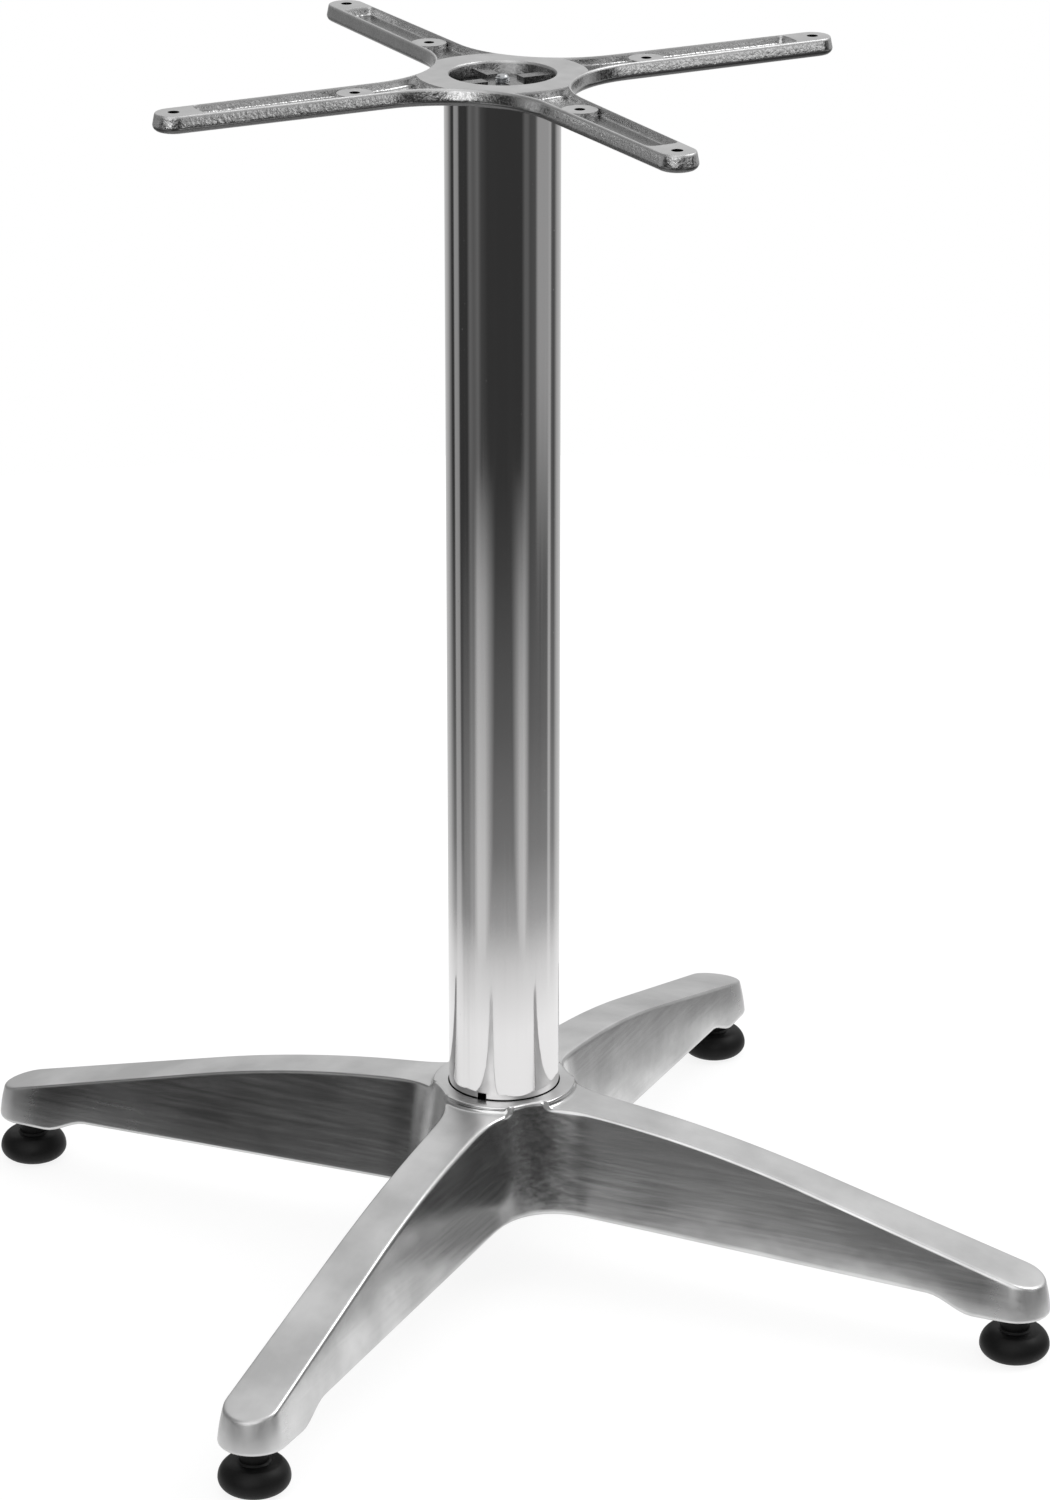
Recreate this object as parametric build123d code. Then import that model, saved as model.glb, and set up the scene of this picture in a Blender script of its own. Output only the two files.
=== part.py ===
from build123d import *
import os
from math import asin, cos, radians, sin, sqrt, tan

# Pedestal table base: a cast foot with four curved legs, a column tube and a cast top spider,
# clamped by one tie rod, standing on four screw-in levelling feet.
# Millimetres, +Z up, origin on the floor under the column. The legs lie along X and Y.

# Overall
stand_height = 720.0  # floor to the face that carries the table top
foot_circle_radius = 323.5
legs = {"front": 270.0, "right": 0.0, "back": 90.0, "left": 180.0}  # direction of each leg, degrees
quarter_turns = [0.0, 90.0, 180.0, 270.0]

# Base casting, outside
tip_level = 29.5  # underside of the leg ends
tip_half_width = 20.2  # plan half width of a leg end, at tip level
root_half_width = 30.0  # plan half width of the leg sides carried to the axis, at tip level
valley_radius = 35.0  # plan radius between neighbouring legs, at tip level
leg_draft = 10.0  # degrees, the sides lean inwards
back_apex = 110.5  # height of the leg backs carried to the axis
back_radius = 800.0  # side view radius of the leg backs
back_fall = 14.4  # degrees, slope of the straight outer part of the backs
back_bevel = 1.7  # along the edges of the leg backs
belly_level = 48.0  # underside of the legs carried to the axis
belly_fall = 2.0  # degrees, slope of the underside
step_start_radius = 276.0  # the underside drops to the leg end from here
step_end_radius = 305.0

# Base casting, inside
casting_wall = 5.0
foot_boss_radius = 15.0
socket_depth = 12.0
socket_wall = 5.5
hub_floor = 9.0

# Collar around the column
collar_radius = 42.0
collar_level = 113.5
collar_bevel = 1.2
collar_flare = 2.8  # slope from the collar to the leg backs

# Column
tube_radius = 32.5
tube_wall = 2.0
tube_play = 0.15  # radial gap of the tube in its seats
notch_width = 5.5
notch_rise = 4.0  # above the collar
notch_direction = 271.5  # degrees
key_play = 0.2  # gap on each side of the locating key
key_length = 5.0  # radial

# Top spider
spider_thickness = 10.0
spider_turn = 52.3  # degrees, direction of the first arm
spider_draft = 3.0  # degrees, the sides lean inwards towards the underside
spider_bevel = 3.0  # along the underside
arm_root_half_width = 14.0  # carried to the axis
arm_tip_radius = 12.0
arm_valley_radius = 61.0
outer_hole_circle_radius = 198.0
outer_hole_radius = 3.0
inner_hole_circle_radius = 90.5
inner_hole_radius = 2.75
inner_boss_radius = 8.5
inner_boss_drop = 1.2  # below the top face
channel_depth = 5.0
channel_rim = 3.0  # wall left beside a channel
channel_draft = 8.0  # degrees
channel_start_radius = 48.0
channel_end_radius = 184.0
cup_radius = 30.0
cup_draft = 12.0  # degrees
cup_depth = 10.0
cup_floor = 6.0
web_thickness = 8.0
web_drop = 3.0  # below the top face
rod_boss_radius = 12.0
rod_boss_drop = 5.0  # below the top face

# Tie rod, M8, screwed into the spider and clamped under the hub
rod_radius = 4.0
rod_hole_play = 0.5
thread_play = 0.05
rod_top_drop = 1.0  # rod end below the top face
rod_tail = 3.0  # rod past the nut
rod_chamfer = 0.8
nut_across_flats = 13.0
nut_height = 6.5
nut_bevel = 30.0  # degrees
spring_washer_radius = 7.4
spring_washer_thickness = 2.0
spring_washer_slit = 1.6
spring_washer_slant = 45.0  # degrees, lean of the slit
flat_washer_radius = 12.0
flat_washer_thickness = 2.0

# Levelling feet, M8
pad_radius = 20.3
pad_widest_level = 8.0
pad_rest_radius = 10.0
pad_crown_radius = 11.0  # side view radius above the widest level
pad_crown_sweep = 60.0  # degrees, up to the flat shoulder
pad_neck_radius = 8.5
pad_gap = 0.4  # from the neck to the leg end
stud_radius = 4.0
stud_reach = 15.0  # thread above the leg end underside
stud_sink = 20.0  # stud held inside the pad
stud_end_gap = 1.5

# Worked out from the sizes above
on_base = (Align.CENTER, Align.CENTER, Align.MIN)
on_top = (Align.CENTER, Align.CENTER, Align.MAX)
leg_reach = foot_circle_radius + 2 * tip_half_width
fall_ratio = tan(radians(back_fall))
belly_ratio = tan(radians(belly_fall))
prism_height = collar_level - tip_level
socket_level = collar_level - socket_depth
socket_radius = tube_radius + tube_play
hub_level = socket_level - hub_floor  # underside of the hub floor
tube_bore = tube_radius - tube_wall
spider_level = stand_height - spider_thickness  # underside of the arms, where the tube seats
spigot_radius = tube_bore - tube_play
cup_level = stand_height - cup_depth
rod_top = stand_height - rod_top_drop
flat_washer_level = hub_level - flat_washer_thickness
spring_washer_level = flat_washer_level - spring_washer_thickness
nut_level = spring_washer_level - nut_height
rod_bottom = nut_level - rod_tail
pad_top = tip_level - pad_gap


# Four tapered arms with round ends, blended where neighbours meet; each line or arc is tangent to the next
def star_plan(root_half, end_radius, end_at, corner_radius):
    lean = asin((root_half - end_radius) / end_at)
    along = sin(lean)
    across = cos(lean)
    diagonal = (root_half + corner_radius) / (along + across)
    shoulder = (diagonal - corner_radius * along, diagonal - corner_radius * across)
    corner_middle = diagonal - corner_radius / sqrt(2)
    tip = (end_at + end_radius * along, end_radius * across)
    side = Line((shoulder[0], -shoulder[1]), (tip[0], -tip[1]))
    end = ThreePointArc((tip[0], -tip[1]), (end_at + end_radius, 0), tip)
    other_side = Line(tip, shoulder)
    corner = ThreePointArc(shoulder, (corner_middle, corner_middle), (shoulder[1], shoulder[0]))
    arm = [side, end, other_side, corner]
    return make_face([Rot(0, 0, turn) * line for turn in quarter_turns for line in arm])


# Height of the leg backs near the column
def back_height(radius):
    return back_apex - back_radius + sqrt(back_radius**2 - radius**2)


# Solid of revolution under the leg backs, lowered by depth and closed below by the given lines
def back_solid(depth, under):
    arc = CenterArc((0, back_apex - back_radius), back_radius - depth, 90, -back_fall)
    bend = arc @ 1
    end = (leg_reach, bend.Y - (leg_reach - bend.X) * fall_ratio)
    sides = [Line(bend, end), Line(end, under[-1] @ 1), Line(under[0] @ 0, arc @ 0)]
    return revolve(Plane.XZ * make_face([arc] + sides + under), Axis.Z)


# Lines under a leg: the belly, an S-shaped step down and the sole of the leg end
def leg_underside():
    start = Vector(step_start_radius, belly_level - step_start_radius * belly_ratio)
    end = Vector(step_end_radius, tip_level)
    belly = Line((0, belly_level), start)
    fall = TangentArc(start, (start + end) / 2, tangent=belly % 1)
    rise = TangentArc((start + end) / 2, end, tangent=fall % 1)
    sole = Line(end, (leg_reach, tip_level))
    return [belly, fall, rise, sole]


# Edges around the leg backs, where they meet the drafted sides
def back_edges(body):
    steepest = cos(radians(2 * back_fall))
    edges = [edge for face in body.faces() if face.normal_at().Z > steepest for edge in face.edges()]
    return [edge for edge in edges if sum(edge.is_same(other) for other in edges) == 1]


# Collar that the column stands in, with a bevelled rim and a flared foot on the leg backs
def collar():
    foot = collar_radius + collar_flare
    foot_level = back_height(foot)
    base = back_apex - casting_wall
    outline = Polyline(
        (0, base),
        (foot, base),
        (foot, foot_level),
        (collar_radius, foot_level + collar_flare),
        (collar_radius, collar_level - collar_bevel),
        (collar_radius - collar_bevel, collar_level),
        (0, collar_level),
        (0, base),
    )
    return revolve(Plane.XZ * make_face(outline), Axis.Z)


# Key in the socket that stops the column from turning
def locating_key():
    height = socket_depth - collar_bevel
    key = Box(key_length, notch_width - 2 * key_play, height, align=(Align.MAX, Align.CENTER, Align.MIN))
    return Rot(0, 0, notch_direction) * Pos(socket_radius + tube_play, 0, socket_level) * key


# Cast foot: a drafted star cut to its side section, hollow underneath, with collar, socket and foot bosses
def base_casting():
    plan = star_plan(root_half_width, tip_half_width, foot_circle_radius, valley_radius)
    star = extrude(Pos(0, 0, tip_level) * plan, prism_height, taper=leg_draft)
    body = star & back_solid(0, leg_underside())
    body = chamfer(back_edges(body), back_bevel)
    body += collar() & star

    end_half = tip_half_width - casting_wall
    cavity_end = foot_circle_radius - foot_boss_radius - end_half
    cavity = star_plan(root_half_width - casting_wall, end_half, cavity_end, valley_radius + casting_wall)
    hollow = extrude(Pos(0, 0, tip_level) * cavity, prism_height, taper=leg_draft)
    body -= hollow & back_solid(casting_wall, [Line((0, tip_level), (leg_reach, tip_level))])

    hub_height = back_apex - casting_wall - hub_level
    body += Pos(0, 0, hub_level) * Cylinder(socket_radius + socket_wall, hub_height, align=on_base)
    body -= Pos(0, 0, socket_level) * Cylinder(socket_radius, 2 * socket_depth, align=on_base)
    body -= Pos(0, 0, hub_level) * Cylinder(rod_radius + rod_hole_play, hub_floor, align=on_base)
    body += locating_key()
    stud_hole = Cylinder(stud_radius + thread_play, stud_reach + stud_end_gap, align=on_base)
    for angle in legs.values():
        body -= Rot(0, 0, angle) * Pos(foot_circle_radius, 0, tip_level) * stud_hole
    return body


# Column tube with the notch for the key at its lower end
def column_tube():
    length = spider_level - socket_level
    tube = Cylinder(tube_radius, length, align=on_base) - Cylinder(tube_bore, length, align=on_base)
    notch_height = socket_depth + notch_rise
    notch = Box(2 * tube_radius, notch_width, notch_height, align=(Align.MIN, Align.CENTER, Align.MIN))
    return Pos(0, 0, socket_level) * (tube - Rot(0, 0, notch_direction) * notch)


# Channels in the arms, each from the hub ring to the end pad
def arm_channels():
    inner = star_plan(
        arm_root_half_width - channel_rim,
        arm_tip_radius - channel_rim,
        outer_hole_circle_radius,
        arm_valley_radius + channel_rim,
    )
    end = Rectangle(2 * channel_end_radius, 2 * channel_end_radius)
    floor = inner & end
    floor -= Circle(channel_start_radius)
    return extrude(Pos(0, 0, stand_height) * floor, -channel_depth, taper=channel_draft)


# Cast top plate: channelled arms with screw holes, a cup with webs and a rod boss, a spigot in the tube
def top_spider():
    plan = star_plan(arm_root_half_width, arm_tip_radius, outer_hole_circle_radius, arm_valley_radius)
    body = extrude(Pos(0, 0, stand_height) * plan, -spider_thickness, taper=spider_draft)
    body = chamfer(body.faces().sort_by(Axis.Z)[0].edges(), spider_bevel)
    body -= arm_channels()

    spigot_level = cup_level - cup_floor
    body += Pos(0, 0, spigot_level) * Cylinder(spigot_radius, cup_level - spigot_level, align=on_base)
    body -= extrude(Pos(0, 0, stand_height) * Circle(cup_radius), -cup_depth, taper=cup_draft)
    boss_height = cup_depth - rod_boss_drop
    body += Pos(0, 0, cup_level) * Cylinder(rod_boss_radius, boss_height, align=on_base)
    web_height = cup_depth - web_drop
    web_length = cup_radius - rod_boss_radius
    web = Box(web_length, web_thickness, web_height, align=(Align.MIN, Align.CENTER, Align.MIN))
    screw_boss = Cylinder(inner_boss_radius, channel_depth - inner_boss_drop, align=on_base)
    for turn in quarter_turns:
        body += Rot(0, 0, turn) * Pos(rod_boss_radius, 0, cup_level) * web
        boss_level = stand_height - channel_depth
        body += Rot(0, 0, turn) * Pos(inner_hole_circle_radius, 0, boss_level) * screw_boss
    inner_hole = Cylinder(inner_hole_radius, spider_thickness, align=on_top)
    outer_hole = Cylinder(outer_hole_radius, spider_thickness, align=on_top)
    for turn in quarter_turns:
        body -= Rot(0, 0, turn) * Pos(inner_hole_circle_radius, 0, stand_height) * inner_hole
        body -= Rot(0, 0, turn) * Pos(outer_hole_circle_radius, 0, stand_height) * outer_hole
    body -= Pos(0, 0, stand_height) * Cylinder(rod_radius + thread_play, 2 * (cup_depth + cup_floor))
    return Rot(0, 0, spider_turn) * body


# Round bar from one level to another
def bar(radius, bottom, top):
    return Pos(0, 0, bottom) * Cylinder(radius, top - bottom, align=on_base)


# Tie rod from the spider to below the nut, both ends chamfered
def tie_rod():
    rod = bar(rod_radius, rod_bottom, rod_top)
    return chamfer(rod.edges().filter_by(GeomType.CIRCLE), rod_chamfer)


# Hexagon nut with bevelled corners, standing on the given level
def hexagon_nut(level):
    corner = nut_across_flats / sqrt(3)
    nut = extrude(RegularPolygon(corner, 6), nut_height) - Cylinder(rod_radius + thread_play, 2 * nut_height)
    flat = nut_across_flats / 2
    bevel = (corner - flat) * tan(radians(nut_bevel))
    outline = Polyline(
        (0, 0),
        (flat, 0),
        (corner, bevel),
        (corner, nut_height - bevel),
        (flat, nut_height),
        (0, nut_height),
        (0, 0),
    )
    return Pos(0, 0, level) * (nut & revolve(Plane.XZ * make_face(outline), Axis.Z))


# Plain ring lying on the given level
def washer(radius, thickness, level):
    ring = Cylinder(radius, thickness, align=on_base)
    ring -= Cylinder(rod_radius + rod_hole_play, thickness, align=on_base)
    return Pos(0, 0, level) * ring


# Spring washer: a ring with one slanted slit
def spring_washer():
    ring = washer(spring_washer_radius, spring_washer_thickness, spring_washer_level)
    middle = spring_washer_level + spring_washer_thickness / 2
    slit = Box(2 * spring_washer_radius, spring_washer_slit, 4 * spring_washer_thickness)
    return ring - Pos(spring_washer_radius, 0, middle) * Rot(spring_washer_slant, 0, 0) * slit


# Bun-shaped foot pad with a flat rest, a flat shoulder and a neck that holds the stud
def foot_pad():
    low_middle = (pad_rest_radius, pad_widest_level)
    low_bulge = pad_radius - pad_rest_radius
    lower = EllipticalCenterArc(low_middle, low_bulge, pad_widest_level, 270, arc_size=90)
    high_middle = (pad_radius - pad_crown_radius, pad_widest_level)
    upper = CenterArc(high_middle, pad_crown_radius, 0, pad_crown_sweep)
    shoulder = upper @ 1
    neck = [(pad_neck_radius, shoulder.Y), (pad_neck_radius, pad_top), (0, pad_top)]
    closing = Polyline(shoulder, *neck, (0, 0), lower @ 0)
    bun = revolve(Plane.XZ * make_face([lower, upper, closing]), Axis.Z)
    return bun - Pos(0, 0, pad_top) * Cylinder(stud_radius, 2 * stud_sink)


# Threaded stud from inside the pad into the leg end
def foot_stud():
    return bar(stud_radius, pad_top - stud_sink, tip_level + stud_reach)


# Every piece under its own name
def pieces():
    nodes = {
        "base_casting": base_casting(),
        "column_tube": column_tube(),
        "top_spider": top_spider(),
        "tie_rod": tie_rod(),
        "clamp_nut": hexagon_nut(nut_level),
        "clamp_spring_washer": spring_washer(),
        "clamp_flat_washer": washer(flat_washer_radius, flat_washer_thickness, flat_washer_level),
    }
    for leg, angle in legs.items():
        place = Rot(0, 0, angle) * Pos(foot_circle_radius, 0, 0)
        nodes[f"{leg}_foot_pad"] = place * foot_pad()
        nodes[f"{leg}_foot_stud"] = place * foot_stud()
    return nodes


os.makedirs("parts", exist_ok=True)
for name, solid in pieces().items():
    solid.label = name
    export_step(solid, f"parts/{name}.step")
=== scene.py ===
import bpy
from math import asin, atan2, cos, exp, hypot, pi, radians, sin, sqrt, tan
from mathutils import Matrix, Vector


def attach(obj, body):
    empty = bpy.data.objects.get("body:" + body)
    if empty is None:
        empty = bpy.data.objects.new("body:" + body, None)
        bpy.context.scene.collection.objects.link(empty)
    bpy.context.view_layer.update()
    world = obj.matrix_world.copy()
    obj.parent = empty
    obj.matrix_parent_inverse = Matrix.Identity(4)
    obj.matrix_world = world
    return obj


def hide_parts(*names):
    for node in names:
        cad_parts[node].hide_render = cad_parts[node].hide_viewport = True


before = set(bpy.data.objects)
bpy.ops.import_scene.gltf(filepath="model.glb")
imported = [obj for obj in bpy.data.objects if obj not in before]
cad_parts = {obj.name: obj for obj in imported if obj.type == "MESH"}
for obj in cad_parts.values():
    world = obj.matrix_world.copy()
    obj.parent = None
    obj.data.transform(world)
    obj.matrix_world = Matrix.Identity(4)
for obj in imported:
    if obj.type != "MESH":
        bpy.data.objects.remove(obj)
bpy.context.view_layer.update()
mm = 0.001
print("frame loaded,", len(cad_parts), "nodes")


# Hand tools

def pick(*objects):  # only these are selected, the first is active
    if bpy.context.object and bpy.context.object.mode != "OBJECT":
        bpy.ops.object.mode_set(mode="OBJECT")
    bpy.ops.object.select_all(action="DESELECT")
    for item in objects:
        item.select_set(True)
    bpy.context.view_layer.objects.active = objects[0]
    return objects[0]


def named(name):  # names what an operator has just added
    piece = bpy.context.object
    piece.name = name
    piece.data.name = name
    return piece


def modify(piece, kind, **settings):  # adds a modifier and applies it
    pick(piece)
    modifier = piece.modifiers.new(kind.title(), kind)
    for key, value in settings.items():
        setattr(modifier, key, value)
    bpy.ops.object.modifier_apply(modifier=modifier.name)
    return piece


def carve(piece, tool, operation="DIFFERENCE"):  # the tool is used up
    modify(piece, "BOOLEAN", object=tool, operation=operation, solver="EXACT")
    bpy.data.objects.remove(tool)
    return piece


def fuse(pieces, name):  # one object of several
    pick(*pieces)
    bpy.ops.object.join()
    return named(name)


def clean(piece, gap=0.01 * mm):  # merges doubles and turns the faces outwards
    pick(piece)
    bpy.ops.object.mode_set(mode="EDIT")
    bpy.ops.mesh.select_all(action="SELECT")
    bpy.ops.mesh.remove_doubles(threshold=gap)
    bpy.ops.mesh.dissolve_degenerate(threshold=gap)
    bpy.ops.mesh.normals_make_consistent(inside=False)
    bpy.ops.object.mode_set(mode="OBJECT")
    return piece


def cap(piece, sides=0):  # fills open ends of up to so many sides, 0 for any
    pick(piece)
    bpy.ops.object.mode_set(mode="EDIT")
    bpy.ops.mesh.select_all(action="SELECT")
    bpy.ops.mesh.fill_holes(sides=sides)
    bpy.ops.object.mode_set(mode="OBJECT")
    return clean(piece)


def settle(piece, angle=35):  # smooth shading, place kept in the mesh
    pick(piece)
    bpy.ops.object.transform_apply(location=True, rotation=True, scale=True)
    bpy.ops.object.shade_smooth_by_angle(angle=radians(angle))
    return piece


def turned(name, profile, segments):  # a lathe job: rings of radius and height, in mm, closed at both ends
    radius, level = profile[0]
    pick(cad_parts["column_tube"])
    bpy.ops.mesh.primitive_circle_add(
        vertices=segments, radius=radius * mm, fill_type="NGON", location=(0, 0, level * mm)
    )
    piece = named(name)
    bpy.ops.object.transform_apply(location=True)
    bpy.ops.object.mode_set(mode="EDIT")
    bpy.ops.mesh.select_all(action="SELECT")
    for nextRadius, nextLevel in profile[1:]:
        rise = {"value": (0, 0, (nextLevel - level) * mm)}
        bpy.ops.mesh.extrude_region_move(TRANSFORM_OT_translate=rise)
        spread = nextRadius / radius
        bpy.ops.transform.resize(value=(spread, spread, 1), center_override=(0, 0, 0))
        radius, level = nextRadius, nextLevel
    bpy.ops.object.mode_set(mode="OBJECT")
    return clean(piece)


def copyMesh(source, name):  # a copy of a finished piece with a mesh of its own
    piece = source.copy()
    piece.data = source.data.copy()
    piece.name = name
    piece.data.name = name
    bpy.context.scene.collection.objects.link(piece)
    return piece


def finish(piece, body, slot, material, *nodes):  # material, body and what the piece stands for; the slot is not used
    piece.data.materials.clear()
    piece.data.materials.append(material)
    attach(piece, body)
    if nodes:
        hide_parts(*nodes)
    return piece


def arc(centre, across, up, start, end, steps):  # points along a round, in mm
    angles = [radians(start + (end - start) * step / steps) for step in range(steps + 1)]
    return [(centre[0] + across * cos(angle), centre[1] + up * sin(angle)) for angle in angles]


# Materials

def linear(hexColour):  # sRGB hex to linear
    parts = [int(hexColour[i:i + 2], 16) / 255 for i in (1, 3, 5)]
    return [part / 12.92 if part <= 0.04045 else ((part + 0.055) / 1.055) ** 2.4 for part in parts] + [1.0]


def addNode(tree, kind, settings, links=None, output=0):  # sets, links, gives one output
    node = tree.nodes.new("ShaderNode" + kind)
    for key, value in settings.items():
        if isinstance(key, str) and hasattr(node, key):
            setattr(node, key, value)
        else:
            node.inputs[key].default_value = value
    for key, socket in (links or {}).items():
        tree.links.new(socket, node.inputs[key])
    return node.outputs[output] if node.outputs else None


def newMaterial(name, look, metallic, roughness):  # with the shader's inputs and the object's coordinates
    material = bpy.data.materials.new(name)
    material.use_nodes = True
    tree = material.node_tree
    shader = tree.nodes["Principled BSDF"].inputs
    shader["Base Color"].default_value = linear(look["colour"])
    shader["Metallic"].default_value = metallic
    shader["Roughness"].default_value = roughness
    return material, tree, shader, addNode(tree, "TexCoord", {}, None, "Object")


def perMetre(size):  # pattern scale for a feature of this size in mm
    return 1000 / size


# MapRange sockets go by number: 0 the value, 1 and 2 its own range, 3 and 4 the range it is taken to
noiseSpan = {1: 0.3, 2: 0.7}  # most of a noise lies between these

castFinish = {  # brush lines are drawn coarser than real ones, which are too fine to show
    "colour": "#E1E1E1", "stain": "#CACACA", "stainFrom": 0.35, "stainFull": 0.65, "wallRough": 0.2,
    "topRough": 0.42, "backFrom": 0.75, "backFull": 0.95, "hubRough": 0.27, "hubEnd": 60, "hubFade": 140,
    "tipRough": 0.4, "tipStart": 312, "tipFull": 336, "cloud": 45, "uneven": 0.05, "brush": 2.0,
    "brushRun": 90, "brushed": 0.03, "wave": 26, "waveLift": 0.10, "waveDepth": 2.0,
}


def alongLegs(tree, coords, squeeze):  # coordinates drawn out along whichever leg a point is on
    sizes = []
    for axis in "XY":
        side = addNode(tree, "SeparateXYZ", {}, {0: coords}, axis)
        sizes.append(addNode(tree, "Math", {"operation": "ABSOLUTE"}, {0: side}))
    sideways = addNode(tree, "Math", {"operation": "GREATER_THAN"}, {0: sizes[0], 1: sizes[1]})
    legX, legY = [
        addNode(tree, "VectorMath", {"operation": "MULTIPLY", 1: scale}, {0: coords})
        for scale in ((squeeze, 1, 1), (1, squeeze, 1))
    ]
    return addNode(tree, "MixRGB", {}, {0: sideways, 1: legY, 2: legX})


def polishedCasting():  # gravity-cast aluminium: walls buffed to wavy reflections, satin backs
    look = castFinish
    material, tree, shader, coords = newMaterial("polishedCastAluminium", look, 1.0, look["wallRough"])
    cloud = addNode(tree, "TexNoise", {"Scale": perMetre(look["cloud"]), "Detail": 4}, {"Vector": coords})
    normal = addNode(tree, "NewGeometry", {}, None, "Normal")
    up = addNode(tree, "SeparateXYZ", {}, {0: normal}, "Z")
    reach = addNode(tree, "VectorMath", {"operation": "LENGTH"}, {0: coords}, "Value")
    tips = {1: look["tipStart"] * mm, 2: look["tipFull"] * mm, 3: look["wallRough"], 4: look["tipRough"]}
    side = addNode(tree, "MapRange", tips, {0: reach})  # leg ends are finished by hand and duller
    hub = {1: look["hubEnd"] * mm, 2: look["hubFade"] * mm, 3: look["hubRough"], 4: look["topRough"]}
    back = addNode(tree, "MapRange", hub, {0: reach})  # backs shine more by the column
    facing = {1: look["backFrom"], 2: look["backFull"]}
    rough = addNode(tree, "MapRange", facing, {0: up, 3: side, 4: back})
    squeezed = alongLegs(tree, coords, look["brush"] / look["brushRun"])
    brush = addNode(tree, "TexNoise", {"Scale": perMetre(look["brush"]), "Detail": 2}, {"Vector": squeezed})
    for pattern, share in ((cloud, look["uneven"]), (brush, look["brushed"])):
        marks = addNode(tree, "MapRange", {**noiseSpan, 3: -share, 4: share}, {0: pattern})
        rough = addNode(tree, "Math", {"operation": "ADD"}, {0: rough, 1: marks})
    tree.links.new(rough, shader["Roughness"])
    stained = addNode(tree, "MapRange", {1: look["stainFrom"], 2: look["stainFull"]}, {0: cloud})
    tint = addNode(tree, "MixRGB", {1: linear(look["colour"]), 2: linear(look["stain"])}, {0: stained})
    tree.links.new(tint, shader["Base Color"])
    ripple = {"Scale": perMetre(look["wave"]), "Detail": 2, "Roughness": 0.4}
    wave = addNode(tree, "TexNoise", ripple, {"Vector": coords})
    lift = {"Strength": look["waveLift"], "Distance": look["waveDepth"] * mm}
    tree.links.new(addNode(tree, "Bump", lift, {"Height": wave}), shader["Normal"])
    return material


tubeFinish = {  # polishing lines are drawn coarser than real ones, which are too fine to show
    # the dark colour and its level are painted shade of the gap where the tube sits in the collar
    "colour": "#EAE9E9", "gapShade": "#1A1A1A", "gapShadeLevel": 114.1, "gapShadeSoft": 0.3, "roughness": 0.06,
    "dull": 0.11, "dullFrom": 0.4, "dullFull": 0.7, "streak": 1.6, "streakRun": 400, "streakLift": 0.03,
    "nick": 9, "nickShare": 0.03, "nickLift": 0.25, "depth": 0.2,
}


def polishedTube():  # drawn aluminium tube, polished bright: crisp bands with faint lines along the length, and a painted shade line at its foot
    look = tubeFinish
    material, tree, shader, coords = newMaterial("polishedTubeAluminium", look, 1.0, look["roughness"])
    level = addNode(tree, "SeparateXYZ", {}, {0: coords}, "Z")
    gapShadeBand = {1: look["gapShadeLevel"] * mm, 2: (look["gapShadeLevel"] + look["gapShadeSoft"]) * mm, 3: 1.0, 4: 0.0}
    gapShade = addNode(tree, "MapRange", gapShadeBand, {0: level})  # painted shade: a dark line just above the collar, standing in for the shadow in the gap where the tube sits
    tint = addNode(tree, "MixRGB", {1: linear(look["colour"]), 2: linear(look["gapShade"])}, {0: gapShade})
    tree.links.new(tint, shader["Base Color"])
    squeeze = (1, 1, look["streak"] / look["streakRun"])
    along = addNode(tree, "Mapping", {"Scale": squeeze}, {"Vector": coords})
    streak = addNode(tree, "TexNoise", {"Scale": perMetre(look["streak"]), "Detail": 3}, {"Vector": along})
    spread = {1: look["dullFrom"], 2: look["dullFull"], 3: look["roughness"], 4: look["dull"]}
    tree.links.new(addNode(tree, "MapRange", spread, {0: streak}), shader["Roughness"])
    lift = {"Strength": look["streakLift"], "Distance": look["depth"] * mm}
    lines = addNode(tree, "Bump", lift, {"Height": streak})
    nick = addNode(tree, "TexVoronoi", {"Scale": perMetre(look["nick"])}, {"Vector": coords})
    pit = addNode(tree, "MapRange", {1: look["nickShare"], 2: 0.0}, {0: nick})
    dent = {"Strength": look["nickLift"], "Distance": look["depth"] * mm, "invert": True}
    tree.links.new(addNode(tree, "Bump", dent, {"Height": pit, "Normal": lines}), shader["Normal"])
    return material


zincFinish = {"colour": "#BFC1C3", "bright": 0.22, "dull": 0.42, "spangle": 2.5}


def zincSteel():  # mild steel, bright zinc plated: cool grey with a faint uneven sheen
    look = zincFinish
    material, tree, shader, coords = newMaterial("zincPlatedSteel", look, 1.0, look["bright"])
    grain = {"Scale": perMetre(look["spangle"]), "Detail": 3}
    spangle = addNode(tree, "TexNoise", grain, {"Vector": coords})
    dull = addNode(tree, "MapRange", {**noiseSpan, 3: look["bright"], 4: look["dull"]}, {0: spangle})
    tree.links.new(dull, shader["Roughness"])
    return material


plasticFinish = {
    "colour": "#070707", "scuff": "#0E0E0E", "scuffSize": 12, "ior": 1.33, "smooth": 0.42, "matt": 0.54,
    "texture": 0.8, "lift": 0.06, "depth": 0.2,  # texture drawn coarser than real, too fine to show
}


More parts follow.
